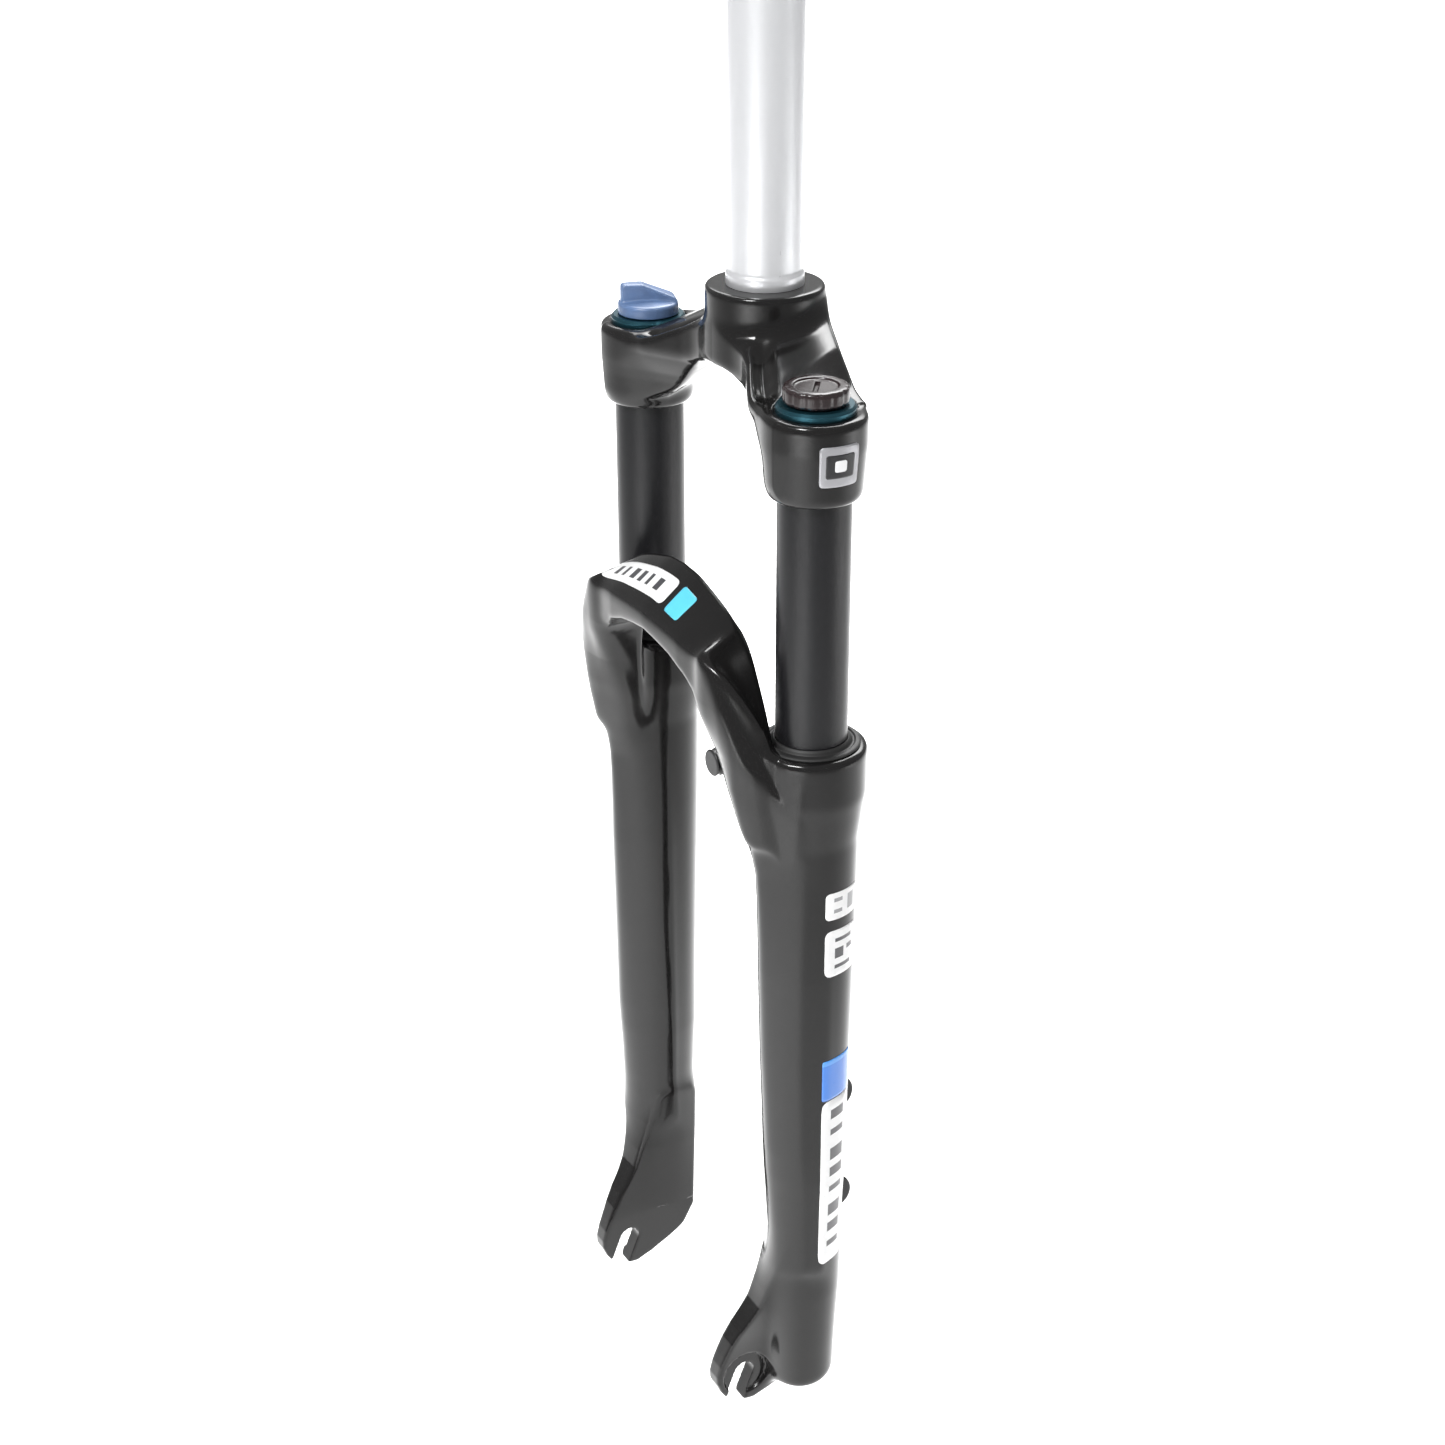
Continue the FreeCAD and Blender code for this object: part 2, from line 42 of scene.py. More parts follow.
STEERER_R, STANCHION_R = 14.3, 14.0
GUIDE_X, GUIDE_Z = 41.0, -174.5   # hose guide
EAR_Y, EAR_LEVELS = 6.0, (-338.5, -389.5)   # holes of the brake ears
EAR_X = 50.0                      # middle of the ears' thickness
HUB_FACE = 50.0                   # wheel side of each dropout, from the middle
FLOOR_Z = -760.0
LOWERS, UPPER = "lower_legs", "upper"
bpy.context.scene.view_settings.view_transform = "Standard"


# ------------------------------------------------------------------ tools for implicit surfaces
# Shapes are functions of x, y, z in millimetres that are negative inside.

def smin(a, b, k):
    h = np.maximum(k - np.abs(a - b), 0.0) / k
    return np.minimum(a, b) - h * h * h * k / 6.0


def smax(a, b, k):
    return -smin(-a, -b, k)


def table(points, blur=6.0):
    """Curve through (t, value) points, with its corners eased over blur millimetres."""
    points = sorted(points)
    t = np.array([p[0] for p in points], float)
    v = np.array([p[1] for p in points], float)
    grid = np.arange(t[0] - blur, t[-1] + blur, 0.25)
    raw = np.interp(grid, t, v)
    half = max(1, int(blur / 0.5))
    window = np.hanning(2 * half + 3)[1:-1]
    padded = np.pad(raw, half, mode="edge")
    smooth = np.convolve(padded, window / window.sum(), mode="valid")
    return grid, smooth, np.gradient(smooth, 0.25)


def read(curve, t):
    return np.interp(t, curve[0], curve[1])


def under(curve, x, z):
    """Signed distance to the surface z = curve(x), negative below it."""
    slope = np.interp(x, curve[0], curve[2])
    return (z - read(curve, x)) / np.sqrt(1.0 + slope * slope)


def rod(a, b, radius):
    """Distance to a cylinder about an axis, given the two coordinates across it."""
    return np.hypot(a, b) - radius


def polygon(points, u, v):
    """Signed distance to a flat outline in two coordinates."""
    p = np.array(points, float)
    best = np.full(u.shape, 1e9)
    inside = np.zeros(u.shape, bool)
    for i in range(len(p)):
        a, b = p[i - 1], p[i]
        e = b - a
        wx, wy = u - a[0], v - a[1]
        t = np.clip((wx * e[0] + wy * e[1]) / (e @ e), 0.0, 1.0)
        best = np.minimum(best, (wx - e[0] * t) ** 2 + (wy - e[1] * t) ** 2)
        if a[1] != b[1]:
            cross = a[0] + (v - a[1]) * e[0] / e[1]
            inside ^= ((a[1] > v) != (b[1] > v)) & (u < cross)
    return np.where(inside, -1.0, 1.0) * np.sqrt(best)


def gradient(field, p, eps=0.04):
    g = np.empty_like(p)
    for i in range(3):
        q = p.copy()
        q[:, i] += eps
        r = p.copy()
        r[:, i] -= eps
        g[:, i] = (field(*q.T) - field(*r.T)) / (2 * eps)
    return g


def settle(field, p, level=0.0, rounds=3, reach=1.0):
    """Move points onto the surface field = level."""
    for _ in range(rounds):
        g = gradient(field, p)
        f = field(*p.T) - level
        move = -(f / np.maximum((g * g).sum(1), 1e-4))[:, None] * g
        size = np.linalg.norm(move, axis=1)
        p = p + move * np.minimum(1.0, reach / np.maximum(size, 1e-9))[:, None]
    return p


CORNERS = np.array([(i, j, k) for i in (0, 1) for j in (0, 1) for k in (0, 1)])
EDGES = [(a, b) for a in range(8) for b in range(a + 1, 8) if np.abs(CORNERS[a] - CORNERS[b]).sum() == 1]


def net(field, low, high, step, block=6):
    """Quads of the surface field = 0 in a box, on a grid of that step: (points, quads)."""
    low = np.array(low, float)
    count = np.ceil((np.array(high, float) - low) / step).astype(int) + 1
    axes = [low[i] + step * np.arange(count[i]) for i in range(3)]
    tiles = -(-count // block)
    middles = [low[i] + step * (block * (np.arange(tiles[i]) + 0.5) - 0.5) for i in range(3)]
    coarse = field(*[g.ravel() for g in np.meshgrid(*middles, indexing="ij")]).reshape(tiles)
    near = np.abs(coarse) < block * step * 0.87 * 1.6

    def spread(a):
        for i in range(3):
            a = np.repeat(a, block, axis=i)
        return a[:count[0], :count[1], :count[2]]

    value = spread(coarse).copy()
    i, j, k = np.nonzero(spread(near))
    value[i, j, k] = field(axes[0][i], axes[1][j], axes[2][k])
    inside = value < 0
    total = np.zeros(tuple(count - 1), np.int8)
    for c in CORNERS:
        total += inside[c[0]:c[0] + count[0] - 1, c[1]:c[1] + count[1] - 1, c[2]:c[2] + count[2] - 1]
    active = (total > 0) & (total < 8)
    cell = np.full(active.shape, -1, np.int64)
    cell[active] = np.arange(active.sum())
    at = np.argwhere(active)
    corner = np.stack([value[tuple((at + c).T)] for c in CORNERS], 1)
    where = np.zeros((len(at), 3))
    hits = np.zeros(len(at))
    for a, b in EDGES:
        fa, fb = corner[:, a], corner[:, b]
        cut = (fa < 0) != (fb < 0)
        t = np.where(cut, fa / np.where(cut, fa - fb, 1.0), 0.0)
        where += cut[:, None] * (CORNERS[a] + t[:, None] * (CORNERS[b] - CORNERS[a]))
        hits += cut
    points = low + step * (at + where / hits[:, None])
    quads = []
    for axis in range(3):
        u, w = (axis + 1) % 3, (axis + 2) % 3
        s0 = np.take(inside, range(count[axis] - 1), axis=axis)
        s1 = np.take(inside, range(1, count[axis]), axis=axis)
        edge = np.argwhere(s0 != s1)
        edge = edge[(edge[:, u] > 0) & (edge[:, w] > 0)
                    & (edge[:, u] < count[u] - 1) & (edge[:, w] < count[w] - 1)]
        eu, ew = np.eye(3, dtype=int)[u], np.eye(3, dtype=int)[w]
        ring = [cell[tuple((edge + d).T)] for d in (0 * eu, -eu, -eu - ew, -ew)]
        quad = np.stack(ring, 1)
        outward = s0[tuple(edge.T)]
        quads.append(np.where(outward[:, None], quad, quad[:, ::-1]))
    return points, np.concatenate(quads)


def relax(points, quads, field, rounds=2):
    """Even out the quads while they stay on the surface."""
    a = np.concatenate([quads[:, i] for i in range(4)])
    b = np.concatenate([quads[:, (i + 1) % 4] for i in range(4)])
    links = np.bincount(a, minlength=len(points))
    for _ in range(rounds):
        mean = np.stack([np.bincount(a, points[b, i], len(points)) for i in range(3)], 1)
        points = settle(field, 0.4 * points + 0.6 * mean / links[:, None], rounds=1)
    return settle(field, points, rounds=2)


def mesh_piece(name, points, faces, smooth=True):
    """A new object from points in millimetres."""
    mesh = bpy.data.meshes.new(name)
    mesh.from_pydata((np.asarray(points) * MM).tolist(), [], [list(map(int, f)) for f in faces])
    mesh.validate()
    if smooth:
        mesh.polygons.foreach_set("use_smooth", [True] * len(mesh.polygons))
    piece = bpy.data.objects.new(name, mesh)
    bpy.context.scene.collection.objects.link(piece)
    return piece


def solid(name, field, low, high, step):
    """A piece whose surface is field = 0, shaded with the field's own normals."""
    points, quads = net(field, low, high, step)
    points = relax(points, quads, field)
    piece = mesh_piece(name, points, quads)
    if len(piece.data.vertices) == len(points):
        normal = gradient(field, points, 0.12)
        normal /= np.maximum(np.linalg.norm(normal, axis=1), 1e-9)[:, None]
        piece.data.normals_split_custom_set_from_vertices(normal.tolist())
    return piece


# ------------------------------------------------------------------ lower legs

LEG_RADIUS = table([(-500, 12.6), (-466, 13.0), (-452, 13.4), (-435.5, 14.1), (-419.5, 14.9), (-388.5, 15.4),
                    (-372.5, 15.9), (-357.5, 16.6), (-327.5, 16.9), (-297.5, 17.4), (-269.5, 18.0),
                    (-241.5, 18.6), (-201.5, 19.1), (-187.5, 20.9), (-181.5, 21.9), (-150, 21.9)], 7.0)
# Rib on the front of each leg: a blunt wedge whose two faces stand this far from the leg's axis.
OUTER_REACH = table([(-480, 8), (-365, 12.5), (-345, 14.6), (-300, 16.2), (-257, 17.2), (-216, 17.6),
                     (-205, 18.4), (-185, 21.6), (-178, 22.3), (-165, 24.2), (-147, 24.6)], 10.0)
OUTER_TURN = table([(-300, -60), (-257, -58), (-205, -50), (-185, -47.5), (-147, -47)], 16.0)
INNER_REACH = table([(-480, 8), (-365, 12.5), (-345, 14.6), (-300, 16.6), (-270, 17.3), (-235, 17.6),
                     (-200, 18.9), (-185, 21.5), (-170, 23.0), (-147, 23.4)], 10.0)
INNER_TURN = table([(-300, -146), (-270, -149), (-235, -157), (-200, -165), (-170, -176), (-147, -178)], 16.0)
NOSE_ROUND = table([(-345, 13), (-257, 14.5), (-216, 15.5), (-178, 17), (-147, 15)], 10.0)
# Level of the rib's blunt front edge.
NOSE_Y = table([(-480, -10), (-345, -29), (-301.5, -34), (-251.5, -36.3), (-216.5, -38.5), (-201.5, -41.7),
                (-178, -48), (-153, -51.5), (-146, -52.2), (-130, -52.8), (-110, -53)], 6.0)
# How far the rib's front leans back towards its inner side.
NOSE_SKEW = table([(-260, 0.6), (-219, 0.6), (-202, 0.47), (-186, 0.44), (-178, 0.38), (-162, 0.19),
                   (-150, 0.03), (-130, 0.0)], 6.0)
# Top of the rib where it comes out of the arch.
SHOULDER = table([(40, -124), (46, -127.6), (50, -131.5), (54, -137.6), (60, -147.3), (64, -156),
                  (68, -165.5), (74, -175), (81, -186), (92, -200)], 8.0)
# Arch: heights of its four long edges against the distance from the middle.
REAR_TOP = table([(-11, -107.1), (0, -106.4), (11, -107.1), (19, -109.4), (27, -111.7), (37, -115.4),
                  (43.5, -121.0), (49, -127.4), (54, -136.4), (60, -147), (64, -156), (68, -165.5),
                  (76, -180)], 13.0)
FRONT_TOP = table([(-24, -125), (0, -124), (24, -125), (42, -127), (55, -130), (62, -136), (68, -146),
                   (76, -166)], 9.0)
REAR_LOW = table([(-18, -129.5), (0, -126.5), (18, -129.5), (30, -138), (36, -147), (39.5, -158),
                  (42, -168), (46, -178), (52, -188), (60, -200), (72, -214)], 5.0)
FRONT_LOW = table([(-9, -134), (0, -133), (9, -134.2), (20, -136.3), (31, -140.2), (38, -144.5), (43, -151),
                   (46.5, -160), (49.5, -170), (54, -180), (60, -190), (72, -206)], 5.0)
BOW = table([(-28, -55.8), (0, -56.6), (28, -55.8), (48, -53.2), (56, -50.8), (62, -47), (67, -42),
             (70, -36), (72, -28)], 5.0)
REAR_Y = -34.5


def leg_field(a, y, z):
    leg = rod(a - LEG_X, y - LEG_Y, 0.0) - read(LEG_RADIUS, z)
    leg = smax(leg, z + 162.0, 5.0)
    # The foot slopes a little towards the dropout.
    foot = (-468.0 + 0.14 * (y - LEG_Y) - z) * 0.99
    return smax(leg, foot, 7.0)


def nose(a, y, z):
    skew = read(NOSE_SKEW, z)
    return (read(NOSE_Y, z) + skew * (60.0 - a) - y) / np.sqrt(1.0 + skew * skew)


def rib_field(a, y, z):
    out = np.radians(read(OUTER_TURN, z))
    inn = np.radians(read(INNER_TURN, z))
    u, v = a - LEG_X, y - LEG_Y
    outer = u * np.cos(out) + v * np.sin(out) - read(OUTER_REACH, z)
    inner = u * np.cos(inn) + v * np.sin(inn) - read(INNER_REACH, z)
    wedge = smax(outer, inner, read(NOSE_ROUND, z))
    wedge = smax(wedge, under(SHOULDER, a, z), 5.0)
    radius = read(LEG_RADIUS, z)
    wedge = smax(wedge, a - LEG_X - radius * 0.78, 3.0)
    wedge = smax(wedge, LEG_X - radius * 0.9 - a, 3.0)
    wedge = smax(wedge, nose(a, y, z), 7.0)
    # Above the collar its back stands clear of the stanchion.
    wedge = smax(wedge, y - np.interp(z, [-168, -158], [LEG_Y - 5.0, -36.5]), 3.0)
    return smax(wedge, -400.0 - z, 6.0)


def arch_field(a, y, z):
    front_y = read(BOW, a)
    t = np.clip((REAR_Y - y) / np.maximum(REAR_Y - front_y, 6.0), -0.3, 1.2)
    low_t = np.clip((REAR_Y - y) / 20.5, -0.3, 1.3)

    def sheet(rear, front, share, drop_y):
        top = read(rear, a) * (1 - share) + read(front, a) * share
        slope_x = np.interp(a, rear[0], rear[2]) * (1 - share) + np.interp(a, front[0], front[2]) * share
        slope_y = (read(rear, a) - read(front, a)) / drop_y
        return (z - top) / np.sqrt(1.0 + slope_x ** 2 + slope_y ** 2)

    depth = np.maximum(REAR_Y - front_y, 6.0)
    top = sheet(REAR_TOP, FRONT_TOP, t, depth)
    low = -sheet(REAR_LOW, FRONT_LOW, low_t, 20.5)
    front = (front_y - y) / np.sqrt(1.0 + np.interp(a, BOW[0], BOW[2]) ** 2)
    body = smax(top, front, 4.5)
    body = smax(body, low, 4.5)
    body = smax(body, y - REAR_Y, 4.0)
    # Its ends run down into the ribs.
    body = smax(body, nose(a, y, z) - np.interp(z, [-165, -145], [0.0, 5.0]), 11.0)
    return smax(body, -200.0 - z, 6.0)


DROPOUT = [(-22, -396), (-27.5, -407), (-33.2, -420), (-36.4, -428), (-40.2, -434), (-44.4, -440),
           (-48.0, -446.5), (-50.8, -453), (-52.7, -457.6), (-54.1, -463), (-54, -466.5), (-52.2, -471),
           (-48.8, -476.2), (-44, -478.6), (-37, -479.0), (-30, -475.8), (-22, -470.2), (-15, -464),
           (-9, -456), (-8, -396)]
PLATE_IN = table([(-500, 50), (-452, 50), (-421, 52.6), (-396, 54)], 16.0)
PLATE_OUT = table([(-500, 59), (-457, 59), (-446, 60.4), (-434, 63), (-428, 64.3), (-396, 66)], 16.0)
AXLE_Y, AXLE_Z = -41.0, -464.5
SLOT_TILT = math.radians(22.0)


def dropout_field(a, y, z):
    outline = polygon(DROPOUT, y, z) - 0.6
    plate = smax(a - read(PLATE_OUT, z), read(PLATE_IN, z) - a, 2.0)
    # Behind the slot the outer face sweeps out into the foot of the leg.
    return smax(outline, plate, 2.6)


def slot_field(a, y, z):
    """The open axle slot and the round seats beside it."""
    u, v = y - AXLE_Y, z - AXLE_Z
    along = -(v * math.cos(SLOT_TILT) + u * math.sin(SLOT_TILT))
    across = u * math.cos(SLOT_TILT) - v * math.sin(SLOT_TILT)
    slot = np.hypot(across, np.minimum(along, 0.0)) - 4.75
    seat = smax(np.hypot(u, v) - 10.5, 57.8 - a, 0.8)
    return smin(slot, seat, 0.8)


def mount_field(x, y, z):
    """Two drilled ears for a brake behind the left leg."""
    ears = [np.where(y > EAR_Y, np.hypot(y - EAR_Y, z - level), np.abs(z - level)) - 8.2
            for level in EAR_LEVELS]
    ears = smin(ears[0], ears[1], 3.0)
    web = np.maximum(np.abs(z + 364.0) - 27.0, y + 2.0)
    shape = smin(ears, web, 5.0)
    return smax(smax(shape, np.abs(x - EAR_X) - 4.0, 1.8), -16.0 - y, 1.0)


def mount_hole_field(x, y, z):
    upper, lower = [np.hypot(y - EAR_Y, z - level) for level in EAR_LEVELS]
    return np.maximum(np.minimum(upper, lower) - 3.05, np.abs(x - EAR_X) - 8.0)


def boss_field(x, y, z):
    """Boss for the hose guide, on the inner side of the left arch root."""
    boss = smax(np.hypot(x - GUIDE_X, z - GUIDE_Z) - 6.6, np.abs(y + 32.0) - 2.5, 1.6)
    web = smax(np.abs(z - GUIDE_Z) - 4.6, np.abs(y + 32.2) - 1.9, 2.0)
    web = smax(web, np.abs(x - 49.0) - 8.0, 1.0)
    return smin(boss, web, 3.0)


def bore_field(a, y, z):
    """What is hollow inside a leg: seal pocket, bearing bore, well, rubber stop, rod and bolt."""
    r = np.hypot(a - LEG_X, y - LEG_Y)
    hollow = np.maximum(r - 17.62, -178.0 - z)
    for radius, level in ((16.42, -267.0), (14.7, -360.0), (11.42, -384.0), (8.02, -420.0), (3.1, -470.0)):
        hollow = np.minimum(hollow, np.maximum(r - radius, level - z))
    return np.minimum(hollow, np.maximum(r - 7.0, z + 457.0))


def lowers_field(x, y, z):
    a = np.abs(x)
    leg = leg_field(a, y, z)
    blend = np.interp(z, [-345, -260, -215, -190], [16.0, 11.0, 4.0, 2.2])
    body = smin(leg, rib_field(a, y, z), blend)
    body = smin(body, arch_field(a, y, z), 12.0)
    body = smin(body, dropout_field(a, y, z), 15.0)
    left = x > 0
    body = np.where(left, smin(body, mount_field(x, y, z), 4.0), body)
    body = np.where(left, smin(body, boss_field(x, y, z), 2.5), body)
    body = smax(body, -slot_field(a, y, z), 1.2)
    # The wheel side of the dropouts stays flat for the hub.
    body = np.where(z < -452.0, smax(body, HUB_FACE - a, 1.2), body)
    body = smax(body, -mount_hole_field(x, y, z), 0.8)
    guide_hole = np.maximum(np.hypot(x - GUIDE_X, z - GUIDE_Z) - 2.0, np.abs(y + 32.0) - 6.0)
    body = np.maximum(body, -guide_hole)
    return smax(body, -bore_field(a, y, z), 1.0)


# ------------------------------------------------------------------ crown

SOCKET_RADIUS = table([(-70, 17.6), (-61.5, 17.9), (-55.5, 18.3), (-47.5, 18.9), (-41, 19.4),
                       (-20, 19.4)], 5.0)
# Crown arm: heights of its roof and underside, and its two edges in plan.
ROOF_REAR = table([(-20, -7.6), (0, -6.5), (20, -7.6), (32, -12), (40, -15.2), (48, -20), (56, -25),
                   (66, -29), (80, -33)], 6.0)
ROOF_FRONT = table([(-12, -17), (0, -16.5), (12, -17), (20, -18), (26, -21), (38, -27), (46, -29.5),
                    (56, -31.5), (80, -33)], 6.0)
UNDER = table([(-10, -32.2), (0, -32), (10, -32.4), (18, -33.6), (24, -37.5), (30, -43.5), (36, -49),
               (41, -52.6), (47, -54.6), (60, -55), (80, -55)], 6.0)
REAR_EDGE = table([(-10, 19), (0, 19.5), (10, 19), (24, 15.2), (40, 10), (55, 6.8), (65, 3.6),
                   (80, 1.5)], 6.0)
FRONT_EDGE = table([(-12, -20.5), (0, -20.5), (12, -20.5), (20, -21.5), (26, -23), (34, -27.5),
                    (42, -31.5), (52, -33.5), (65, -34), (80, -34)], 6.0)
# The arm's lower front corner is cut back, in this plan direction, on the way down to the socket.
CORNER_X, CORNER_Y = 0.488, 0.873
CORNER_CUT = table([(-70, 0.5), (-51.5, 0.5), (-47.5, 0.1), (-43.5, -1.3), (-39, -4.0), (-35, -6.3),
                    (-32, -9.7), (-26, -15.0)], 3.0)
SOCKET_TOP, SOCKET_FOOT = -29.0, -61.5
BOSS_R = 23.0


def crown_field(x, y, z):
    a = np.abs(x)
    rear, front = read(REAR_EDGE, a), read(FRONT_EDGE, a)
    share = np.clip((rear - y) / (rear - front), -0.2, 1.2)
    roof = read(ROOF_REAR, a) * (1 - share) + read(ROOF_FRONT, a) * share
    slope_x = (np.interp(a, ROOF_REAR[0], ROOF_REAR[2]) * (1 - share)
               + np.interp(a, ROOF_FRONT[0], ROOF_FRONT[2]) * share)
    slope_y = (read(ROOF_REAR, a) - read(ROOF_FRONT, a)) / (rear - front)
    # A channel runs along each arm's roof, just behind its front lip.
    channel = 2.6 * np.exp(-((y - front - 7.0) / 3.4) ** 2) * np.clip((a - 19.0) / 8.0, 0.0, 1.0)
    roof = roof - channel * np.clip((56.0 - a) / 12.0, 0.0, 1.0)
    top = (z - roof) / np.sqrt(1.0 + slope_x ** 2 + slope_y ** 2)
    # The underside rises towards the back.
    rise = (2.6 + 4.4 * np.clip((a - 18.0) / 10.0, 0.0, 1.0)) * np.clip((y + 18.0) / 20.0, 0.0, 1.0)
    slope = np.interp(a, UNDER[0], UNDER[2])
    low = (read(UNDER, a) + rise - z) / np.sqrt(1.0 + slope * slope)
    low = np.maximum(low, -72.0 - z)
    back = (y - rear) / np.sqrt(1.0 + np.interp(a, REAR_EDGE[0], REAR_EDGE[2]) ** 2)
    face = (front - y) / np.sqrt(1.0 + np.interp(a, FRONT_EDGE[0], FRONT_EDGE[2]) ** 2)
    arm = smax(top, face, 3.4)
    arm = smax(arm, low, 5.0)
    arm = smax(arm, back, 6.0)
    arm = smax(arm, read(CORNER_CUT, z) - CORNER_X * a - CORNER_Y * y, 5.0)
    arm = smax(arm, a - 66.0, 1.0)
    boss = smax(rod(x, y, BOSS_R), z, 3.0)
    boss = smax(boss, -28.5 - z, 3.0)
    r = rod(a - LEG_X, y - LEG_Y, 0.0)
    socket = r - read(SOCKET_RADIUS, z)
    socket = smax(socket, z - SOCKET_TOP, 4.6)
    socket = smax(socket, SOCKET_FOOT - z, 5.4)
    body = smin(arm, boss, 9.0)
    body = smin(body, socket, 8.0)
    mouth = np.maximum(r - 15.6, SOCKET_TOP - z)
    body = smax(body, -mouth, 1.0)
    body = smax(body, -np.maximum(r - STANCHION_R - 0.02, -70.0 - z), 0.9)
    return smax(body, -np.maximum(rod(x, y, STEERER_R + 0.02), -60.0 - z), 0.8)


# ------------------------------------------------------------------ materials

def material(name, base, rough, metal=0.0, coat=0.0, coat_rough=0.05, vary=0.1, scale=60.0, bump=0.0,
             bump_scale=900.0, rough_vary=0.06, stretch=(1, 1, 1), tint=None, specular=0.5):
    """Procedural finish: slow colour drift, fine roughness variation and a fine bump."""
    made = bpy.data.materials.new(name)
    made.use_nodes = True
    nodes, links = made.node_tree.nodes, made.node_tree.links
    shader = nodes["Principled BSDF"]
    shader.inputs["Metallic"].default_value = metal
    shader.inputs["Coat Weight"].default_value = coat
    shader.inputs["Coat Roughness"].default_value = coat_rough
    shader.inputs["Specular IOR Level"].default_value = specular
    where = nodes.new("ShaderNodeTexCoord")
    mapping = nodes.new("ShaderNodeMapping")
    mapping.inputs["Scale"].default_value = stretch
    links.new(where.outputs["Object"], mapping.inputs["Vector"])
    slow = nodes.new("ShaderNodeTexNoise")
    slow.inputs["Scale"].default_value = scale
    slow.inputs["Detail"].default_value = 4.0
    links.new(mapping.outputs["Vector"], slow.inputs["Vector"])
    ramp = nodes.new("ShaderNodeMix")
    ramp.data_type = "RGBA"
    dark = tuple(c * (1 - vary) for c in base)
    pale = tuple(min(1.0, c * (1 + vary)) for c in (tint or base))
    ramp.inputs[6].default_value = (*dark, 1.0)
    ramp.inputs[7].default_value = (*pale, 1.0)
    links.new(slow.outputs["Fac"], ramp.inputs[0])
    links.new(ramp.outputs[2], shader.inputs["Base Color"])
    fine = nodes.new("ShaderNodeTexNoise")
    fine.inputs["Scale"].default_value = bump_scale
    fine.inputs["Detail"].default_value = 3.0
    links.new(mapping.outputs["Vector"], fine.inputs["Vector"])
    gloss = nodes.new("ShaderNodeMapRange")
    gloss.inputs["To Min"].default_value = max(0.01, rough - rough_vary)
    gloss.inputs["To Max"].default_value = rough + rough_vary
    links.new(fine.outputs["Fac"], gloss.inputs["Value"])
    links.new(gloss.outputs["Result"], shader.inputs["Roughness"])
    if bump:
        relief = nodes.new("ShaderNodeBump")
        relief.inputs["Strength"].default_value = bump
        relief.inputs["Distance"].default_value = 0.0002
        links.new(fine.outputs["Fac"], relief.inputs["Height"])
        links.new(relief.outputs["Normal"], shader.inputs["Normal"])
    return made


ALONG = (1, 1, 0.05)    # draws a pattern out along the tubes
lacquer = material("lacquer_black", (0.0075, 0.0072, 0.0072), 0.16, coat=0.08, specular=0.36, coat_rough=0.05,
                   vary=0.25, scale=18, rough_vary=0.03, bump=0.012, bump_scale=420)
satin = material("stanchion_satin", (0.010, 0.010, 0.0115), 0.33, specular=0.4, vary=0.2, scale=30,
                 stretch=(1, 1, 0.06), bump=0.03, bump_scale=1500, rough_vary=0.05)
silver = material("steerer_silver", (0.86, 0.87, 0.89), 0.30, metal=0.62, vary=0.035, scale=60,
                  stretch=(1, 1, 0.03), bump=0.03, bump_scale=1300, rough_vary=0.05)
teal = material("cap_teal", (0.018, 0.075, 0.10), 0.24, metal=0.75, vary=0.15, bump=0.03, bump_scale=2500)
blue_plastic = material("knob_blue", (0.105, 0.155, 0.27), 0.36, coat=0.15, coat_rough=0.2, vary=0.12,
                        scale=120, tint=(0.095, 0.17, 0.34), bump=0.05, bump_scale=2600)
dark_plastic = material("knob_dark", (0.014, 0.009, 0.0095), 0.24, vary=0.2, scale=150, coat=0.2,
                        tint=(0.024, 0.013, 0.014), bump=0.05, bump_scale=2600)
rubber = material("seal_rubber", (0.014, 0.014, 0.014), 0.55, vary=0.2, scale=200, bump=0.12, bump_scale=2400)
moulded = material("guide_plastic", (0.012, 0.012, 0.013), 0.42, vary=0.2, scale=220, bump=0.1,
                   bump_scale=2600)
alloy = material("inner_alloy", (0.62, 0.63, 0.65), 0.3, metal=1.0, vary=0.06, stretch=ALONG, bump=0.05)
ground = material("ground_steel", (0.55, 0.55, 0.57), 0.22, metal=1.0, vary=0.05, stretch=ALONG, bump=0.04)
wire = material("spring_wire", (0.26, 0.27, 0.3), 0.34, metal=1.0, vary=0.15, scale=200, bump=0.06)
oxide = material("bolt_oxide", (0.03, 0.03, 0.03), 0.35, metal=0.8, vary=0.2, scale=250, bump=0.08)
foam = material("oil_foam", (0.11, 0.11, 0.11), 0.9, vary=0.3, scale=900, bump=0.4, bump_scale=1400)
slide = material("slide_plastic", (0.19, 0.18, 0.16), 0.45, vary=0.12, scale=200, bump=0.06)


def dress(piece, finish):
    piece.data.materials.clear()
    piece.data.materials.append(finish)


